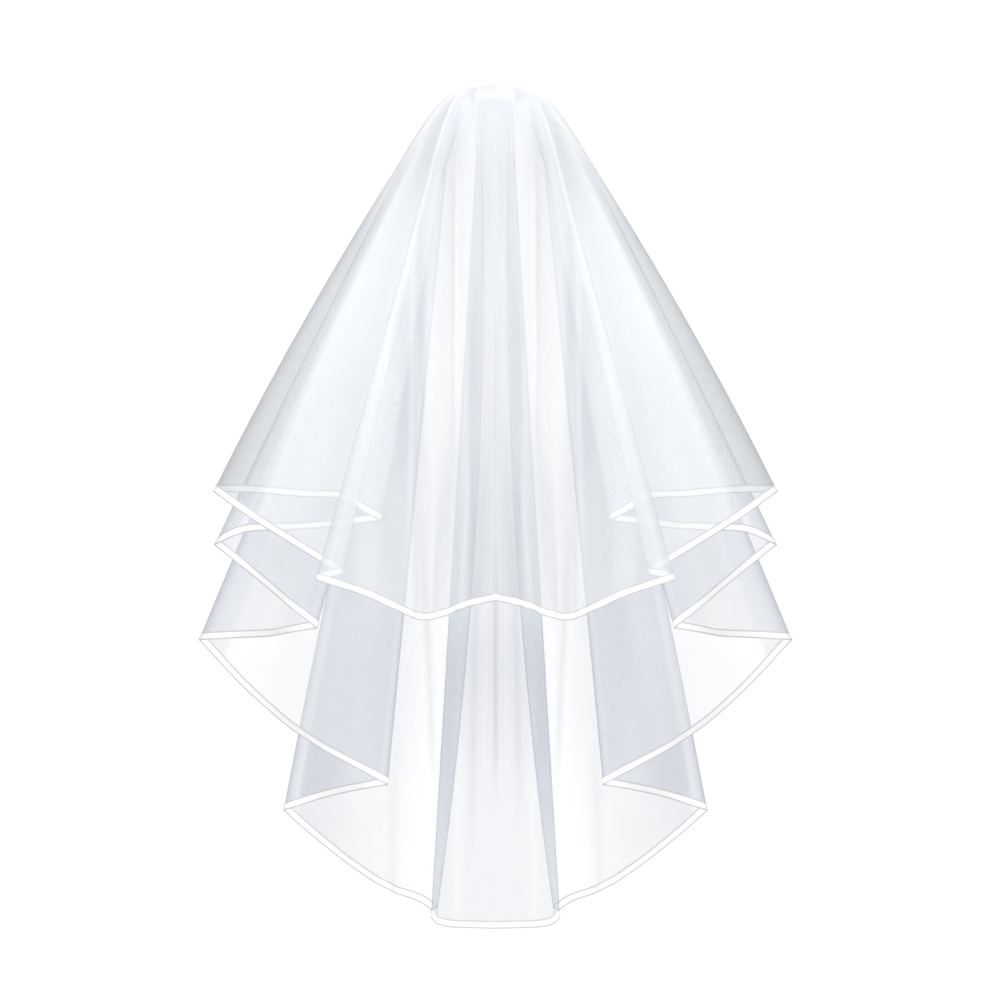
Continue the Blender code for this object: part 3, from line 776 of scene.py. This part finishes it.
def make_ribbon(name, grid, normals, material):
    """Closed band round the last stretch of the cloth, shaped by the ribbon's half thickness across it."""
    hem, above = grid[-1], grid[-2]
    fall = unit(hem - above)
    edge = unit(np.gradient(hem, axis=0, edge_order=2))
    crossing = np.linalg.norm(np.cross(fall, edge), axis=1, keepdims=True)
    normal = normals[-1]
    loop = list(RIBBON_BODY)
    loop += [(place, -depth) for place, depth in reversed(RIBBON_BODY[1:-1])]
    rings = np.array([hem - fall * place / crossing + normal * depth for place, depth in loop])
    around, along = rings.shape[:2]
    faces = [
        (i * along + j, i * along + j + 1, (i + 1) % around * along + j + 1, (i + 1) % around * along + j)
        for i in range(around) for j in range(along - 1)]
    faces.append(tuple(i * along for i in range(around)))
    faces.append(tuple(i * along + along - 1 for i in reversed(range(around))))
    mesh = bpy.data.meshes.new(name)
    mesh.from_pydata(rings.reshape(-1, 3).tolist(), [], faces)
    mesh.materials.append(material)
    mesh.shade_smooth()
    lengths = np.concatenate([[0.0], np.cumsum(np.linalg.norm(np.diff(hem, axis=0), axis=1))])
    flat = np.array([[(length, place) for length in lengths] for place, depth in loop])
    set_flat_map(mesh, flat)
    ribbon = bpy.data.objects.new(name, mesh)
    bpy.context.scene.collection.objects.link(ribbon)
    return ribbon


satin = satin_material()
upper_ribbon = make_ribbon("upper_satin_ribbon", upper_grid, upper_normals, satin)
lower_ribbon = make_ribbon("lower_satin_ribbon", lower_grid, lower_normals, satin)
for ribbon, node in ((upper_ribbon, "upper_ribbon"), (lower_ribbon, "lower_ribbon")):
    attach(ribbon, "root")
    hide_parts(node)

# The comb.
# A plain moulded clear hair comb under the gathers, kept with its CAD shape. Clear plastic shows faint
# flow lines along its teeth from the mould, and fine wear on its gloss.

COMB_TINT = (0.86, 0.89, 0.91, 1.0)
COMB_ALPHA = 0.42
COMB_GLOSS = 0.12
COMB_WORN = 0.30
COMB_COAT = 0.4
FLOW_SCALE = (900.0, 60.0, 60.0)
FLOW_DETAIL = 3.0
FLOW_BUMP = 0.08
FLOW_HEIGHT = 0.0002


def clear_material():
    """Clear plastic, half see-through, with flow lines in its gloss and its relief."""
    material, shader, start = new_material("clear_comb")
    place = start.node("ShaderNodeTexCoord", {}, {}, "Object")
    stretched = start.node(
        "ShaderNodeVectorMath", {"operation": "MULTIPLY"}, {0: place, 1: FLOW_SCALE})
    flow = start.node("ShaderNodeTexNoise", {}, {"Vector": stretched, "Scale": 1.0, "Detail": FLOW_DETAIL})
    feed(shader, "Roughness", flow * (COMB_WORN - COMB_GLOSS) + COMB_GLOSS)
    bump = start.node(
        "ShaderNodeBump", {}, {"Height": flow, "Strength": FLOW_BUMP, "Distance": FLOW_HEIGHT})
    feed(shader, "Normal", bump)
    shader.inputs["Base Color"].default_value = COMB_TINT
    shader.inputs["Alpha"].default_value = COMB_ALPHA
    shader.inputs["Coat Weight"].default_value = COMB_COAT
    return material


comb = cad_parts["comb"]
clear_comb = clear_material()
for slot in comb.material_slots:
    slot.material = clear_comb

# The sewing.
# White polyester thread. A running stitch holds the ribbon's inner edge to the net on both faces, two
# running rows draw the gathers up over the comb, and whip stitches bind them round the comb's spine.

THREAD_WHITE = (0.93, 0.94, 0.95, 1.0)
THREAD_SHADE = (0.74, 0.76, 0.79, 1.0)
THREAD_PLY = 0.0004
THREAD_RELIEF = 0.3
THREAD_HEIGHT = 0.0001
THREAD_ROUGHNESS = 0.5
RIBBON_STITCH_PITCH = 0.0045
RIBBON_STITCH_LENGTH = 0.0024
RIBBON_STITCH_WIDTH = 0.00040
RIBBON_STITCH_PLACE = 0.0066
RIBBON_STITCH_DEPTH = 0.00042
GATHER_STITCH_PITCH = 0.0040
GATHER_STITCH_LENGTH = 0.0028
GATHER_STITCH_WIDTH = 0.00055
GATHER_STITCH_ROWS = (ROLL_ROWS, ROLL_ROWS + 2)
GATHER_STITCH_DEPTH = 0.0003
STITCH_SPREAD = 0.12
STITCH_SEED = 7
WHIP_PITCH = 0.0050
WHIP_COUNT = 11
WHIP_WIDTH = 0.00056
WHIP_SLANT = 0.22
# Round the comb's spine, as (y, z)
WHIP_LOOP = [
    (0.0026, 0.0005), (0.0035, 0.0001), (0.0037, -0.0012), (0.0033, -0.0025), (0.0010, -0.0031),
    (-0.0020, -0.0038), (-0.0042, -0.0042), (-0.0048, -0.0032), (-0.0048, -0.0016), (-0.0040, -0.0007),
    (-0.0016, 0.0002)]


def thread_material():
    """Twisted thread: a fine slanted ply in tone and relief."""
    material, shader, start = new_material("thread")
    place = start.node("ShaderNodeTexCoord", {}, {}, "Object")
    ply = start.node(
        "ShaderNodeTexWave", {"bands_direction": "DIAGONAL"},
        {"Vector": place, "Scale": 1.0 / THREAD_PLY}, "Fac")
    feed(shader, "Base Color", ply.blend(THREAD_SHADE, THREAD_WHITE))
    bump = start.node(
        "ShaderNodeBump", {}, {"Height": ply, "Strength": THREAD_RELIEF, "Distance": THREAD_HEIGHT})
    feed(shader, "Normal", bump)
    shader.inputs["Roughness"].default_value = THREAD_ROUGHNESS
    return material


def nodes_tree(name, sizes):
    """An empty Geometry Nodes tree with a named input for each size, and its path and material inputs."""
    tree = bpy.data.node_groups.new(name, "GeometryNodeTree")
    tree.interface.new_socket("Path", in_out="INPUT", socket_type="NodeSocketGeometry")
    tree.interface.new_socket("Geometry", in_out="OUTPUT", socket_type="NodeSocketGeometry")
    for size in sizes:
        kind = "NodeSocketInt" if size in ("Count", "Seed") else "NodeSocketFloat"
        tree.interface.new_socket(size, in_out="INPUT", socket_type=kind)
    tree.interface.new_socket("Thread", in_out="INPUT", socket_type="NodeSocketMaterial")
    entry = tree.nodes.new("NodeGroupInput")
    return tree, {socket.name: Wire(tree, socket) for socket in entry.outputs if socket.name}


def finish_tree(tree, instances, material):
    """Realizes the instances, smooths them and gives them their thread."""
    start = Wire(tree)
    real = start.node("GeometryNodeRealizeInstances", {}, {"Geometry": instances})
    smooth = start.node("GeometryNodeSetShadeSmooth", {}, {"Geometry": real})
    dressed = start.node("GeometryNodeSetMaterial", {}, {"Geometry": smooth, "Material": material})
    leave = tree.nodes.new("NodeGroupOutput")
    tree.links.new(dressed.socket, leave.inputs["Geometry"])
    return tree


def running_stitch_tree():
    """Short rounded stitches along a path, each lying on the cloth that the path's facing points out of."""
    tree, given = nodes_tree("running_stitch", ["Pitch", "Length", "Width", "Spread", "Seed"])
    start = Wire(tree)
    curve = start.node("GeometryNodeMeshToCurve", {}, {"Mesh": given["Path"]})
    points = start.node(
        "GeometryNodeCurveToPoints", {"mode": "LENGTH"}, {"Curve": curve, "Length": given["Pitch"]})
    tangent = Wire(tree, points.socket.node.outputs["Tangent"])
    facing = start.node(
        "GeometryNodeInputNamedAttribute", {"data_type": "FLOAT_VECTOR"}, {"Name": "facing"}, "Attribute")
    along = start.node("FunctionNodeAlignRotationToVector", {"axis": "X"}, {"Vector": tangent})
    turned = start.node(
        "FunctionNodeAlignRotationToVector", {"axis": "Z", "pivot_axis": "X"},
        {"Rotation": along, "Vector": facing})
    uneven = start.node(
        "FunctionNodeRandomValue", {"data_type": "FLOAT"},
        {2: 1.0 - given["Spread"], 3: 1.0 + given["Spread"], "Seed": given["Seed"]}, 1)
    scale = start.node(
        "ShaderNodeCombineXYZ", {},
        {"X": given["Length"] * uneven * 0.5, "Y": given["Width"] * 0.5, "Z": given["Width"] * 0.5})
    stitch = start.node("GeometryNodeMeshUVSphere", {}, {"Segments": 6, "Rings": 4, "Radius": 1.0})
    laid = start.node(
        "GeometryNodeInstanceOnPoints", {},
        {"Points": points, "Instance": stitch, "Rotation": turned, "Scale": scale})
    return finish_tree(tree, laid, given["Thread"])


def whip_stitch_tree():
    """A row of thread loops, each the path swept round by the thread and turned a little off square."""
    tree, given = nodes_tree("whip_stitch", ["Count", "Pitch", "Width", "Slant", "Spread", "Seed"])
    start = Wire(tree)
    curve = start.node("GeometryNodeMeshToCurve", {}, {"Mesh": given["Path"]})
    round_path = start.node(
        "GeometryNodeCurvePrimitiveCircle", {"mode": "RADIUS"},
        {"Resolution": 6, "Radius": given["Width"] * 0.5})
    loop = start.node("GeometryNodeCurveToMesh", {}, {"Curve": curve, "Profile Curve": round_path})
    spot = start.node("GeometryNodeInputIndex", {}, {}) - (given["Count"] - 1.0) * 0.5
    points = start.node("GeometryNodePoints", {}, {"Count": given["Count"]})
    place = start.node("ShaderNodeCombineXYZ", {}, {"X": spot * given["Pitch"]})
    row = start.node("GeometryNodeSetPosition", {}, {"Geometry": points, "Position": place})
    uneven = start.node(
        "FunctionNodeRandomValue", {"data_type": "FLOAT"},
        {2: 1.0 - given["Spread"], 3: 1.0 + given["Spread"], "Seed": given["Seed"]}, 1)
    turned = start.node("ShaderNodeCombineXYZ", {}, {"Z": given["Slant"] * uneven})
    laid = start.node(
        "GeometryNodeInstanceOnPoints", {}, {"Points": row, "Instance": loop, "Rotation": turned})
    return finish_tree(tree, laid, given["Thread"])


def sewn(name, tree, paths, sizes, material, closed=False):
    """Runs a tree on paths of (points, facings) and returns the result as a plain mesh piece."""
    mesh = bpy.data.meshes.new(name + "_path")
    points = np.concatenate([path for path, facing in paths])
    edges, first = [], 0
    for path, facing in paths:
        edges += [(first + i, first + i + 1) for i in range(len(path) - 1)]
        edges += [(first + len(path) - 1, first)] if closed else []
        first += len(path)
    mesh.from_pydata(points.tolist(), edges, [])
    attribute = mesh.attributes.new("facing", "FLOAT_VECTOR", "POINT")
    attribute.data.foreach_set("vector", np.concatenate([f for p, f in paths]).astype(np.float32).ravel())
    maker = bpy.data.objects.new(name + "_maker", mesh)
    bpy.context.scene.collection.objects.link(maker)
    modifier = maker.modifiers.new("stitches", "NODES")
    modifier.node_group = tree
    for item in tree.interface.items_tree:
        if item.in_out == "INPUT" and item.name in sizes:
            modifier[item.identifier] = sizes[item.name]
        if item.name == "Thread":
            modifier[item.identifier] = material
    evaluated = maker.evaluated_get(bpy.context.evaluated_depsgraph_get())
    made = bpy.data.meshes.new_from_object(evaluated)
    bpy.data.objects.remove(maker)
    made.name = name
    piece = bpy.data.objects.new(name, made)
    bpy.context.scene.collection.objects.link(piece)
    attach(piece, "root")
    return piece


def ribbon_paths(grid, normals):
    """Where the needle ran: one line on each face, near the ribbon's inner edge."""
    fall = unit(grid[-1] - grid[-2])
    edge = unit(np.gradient(grid[-1], axis=0, edge_order=2))
    crossing = np.linalg.norm(np.cross(fall, edge), axis=1, keepdims=True)
    line = grid[-1] - fall * RIBBON_STITCH_PLACE / crossing
    normal = normals[-1]
    return [(line + normal * side * RIBBON_STITCH_DEPTH, normal * side) for side in (1.0, -1.0)]


def stitch_sizes(pitch, length, width):
    return {"Pitch": pitch, "Length": length, "Width": width, "Spread": STITCH_SPREAD, "Seed": STITCH_SEED}


thread = thread_material()
running_stitch = running_stitch_tree()
ribbon_stitch = stitch_sizes(RIBBON_STITCH_PITCH, RIBBON_STITCH_LENGTH, RIBBON_STITCH_WIDTH)
gather_stitch = stitch_sizes(GATHER_STITCH_PITCH, GATHER_STITCH_LENGTH, GATHER_STITCH_WIDTH)
upper_stitches = sewn(
    "upper_ribbon_stitches", running_stitch, ribbon_paths(upper_grid, upper_normals), ribbon_stitch, thread)
lower_stitches = sewn(
    "lower_ribbon_stitches", running_stitch, ribbon_paths(lower_grid, lower_normals), ribbon_stitch, thread)
gather_outward = -np.sign(upper_normals[-1, upper_grid.shape[1] // 2, 1])
gather_lines = [
    (upper_grid[row] + upper_normals[row] * gather_outward * GATHER_STITCH_DEPTH,
     upper_normals[row] * gather_outward)
    for row in GATHER_STITCH_ROWS]
gather_stitches = sewn("gathering_stitches", running_stitch, gather_lines, gather_stitch, thread)
loop_points = np.array([(0.0, y, z) for y, z in WHIP_LOOP])
whip_stitches = sewn(
    "comb_whip_stitches", whip_stitch_tree(), [(loop_points, np.zeros_like(loop_points))],
    {"Count": WHIP_COUNT, "Pitch": WHIP_PITCH, "Width": WHIP_WIDTH, "Slant": WHIP_SLANT,
     "Spread": STITCH_SPREAD, "Seed": STITCH_SEED}, thread, closed=True)

# Floor, light and camera.
# A plain floor well below the veil glows as white as the backdrop, so that its far edge doesn't show
# through the net. Large soft lamps stand all round, and the camera is level with the middle of the veil,
# straight behind the wearer. Pixels are those of the photograph.

PHOTO_PIXEL = 0.00103
PHOTO_PIXELS = 1000
PHOTO_MIDDLE_X = 495.5
PHOTO_TOP_Y = 84
CAMERA_AWAY = 12.0
SENSOR = 36.0
CAMERA_REACH = 100.0
FLOOR_DROP = 0.25
FLOOR_HALF = 1.6
BACKDROP_WHITE = 1.03
FILL_LIGHT = 0.45
LAYERS_SEEN_THROUGH = 48
PURE_WHITE = (1.0, 1.0, 1.0, 1.0)
NO_COLOUR = (0.0, 0.0, 0.0, 1.0)

scene = bpy.context.scene
scene.view_settings.view_transform = "Standard"
scene.cycles.transparent_max_bounces = LAYERS_SEEN_THROUGH
frame_width = PHOTO_PIXEL * PHOTO_PIXELS
camera_data = bpy.data.cameras.new("photo_camera")
camera_data.sensor_width = SENSOR
camera_data.lens = SENSOR * CAMERA_AWAY / frame_width
camera_data.clip_end = CAMERA_REACH
camera = bpy.data.objects.new("photo_camera", camera_data)
camera.location = (
    (PHOTO_PIXELS / 2.0 - PHOTO_MIDDLE_X) * PHOTO_PIXEL, -CAMERA_AWAY,
    CROWN_TOP - (PHOTO_PIXELS / 2.0 - PHOTO_TOP_Y) * PHOTO_PIXEL)
camera.rotation_euler = (math.pi / 2.0, 0.0, 0.0)
scene.collection.objects.link(camera)
scene.camera = camera

world = bpy.data.worlds.new("studio")
world.use_nodes = True
scene.world = world
start = Wire(world.node_tree)
seen = start.node("ShaderNodeLightPath", {}, {}, "Is Camera Ray")
strength = seen * (BACKDROP_WHITE - FILL_LIGHT) + FILL_LIGHT
background = world.node_tree.nodes["Background"]
background.inputs["Color"].default_value = PURE_WHITE
world.node_tree.links.new(strength.socket, background.inputs["Strength"])

floor_z = cad_low.z - FLOOR_DROP
floor_material, floor_shader, start = new_material("floor")
floor_shader.inputs["Base Color"].default_value = NO_COLOUR
floor_shader.inputs["Roughness"].default_value = 1.0
floor_shader.inputs["Specular IOR Level"].default_value = 0.0
floor_shader.inputs["Emission Color"].default_value = PURE_WHITE
floor_shader.inputs["Emission Strength"].default_value = BACKDROP_WHITE
corners = np.array([
    [(-FLOOR_HALF, FLOOR_HALF, floor_z), (FLOOR_HALF, FLOOR_HALF, floor_z)],
    [(-FLOOR_HALF, -FLOOR_HALF, floor_z), (FLOOR_HALF, -FLOOR_HALF, floor_z)]])
floor = grid_mesh("floor", corners, floor_material)

Lamp = namedtuple("Lamp", "name place size watts shadow")
LAMPS = [
    Lamp("key", (0.0, -1.5, 1.4), 1.2, 7.0, True),
    Lamp("front_fill", (0.0, -2.1, 0.1), 1.6, 22.0, False),
    Lamp("top_fill", (0.0, -0.5, 1.5), 1.0, 13.0, False),
    Lamp("face_side", (0.5, 1.9, 0.7), 1.4, 17.0, True),
]
aim = Vector((0.0, 0.0, camera.location.z))
for lamp in LAMPS:
    light = bpy.data.lights.new(lamp.name, "AREA")
    light.size = lamp.size
    light.energy = lamp.watts
    light.use_shadow = lamp.shadow
    thing = bpy.data.objects.new(lamp.name, light)
    thing.location = lamp.place
    thing.rotation_euler = (aim - thing.location).to_track_quat("-Z", "Y").to_euler()
    scene.collection.objects.link(thing)
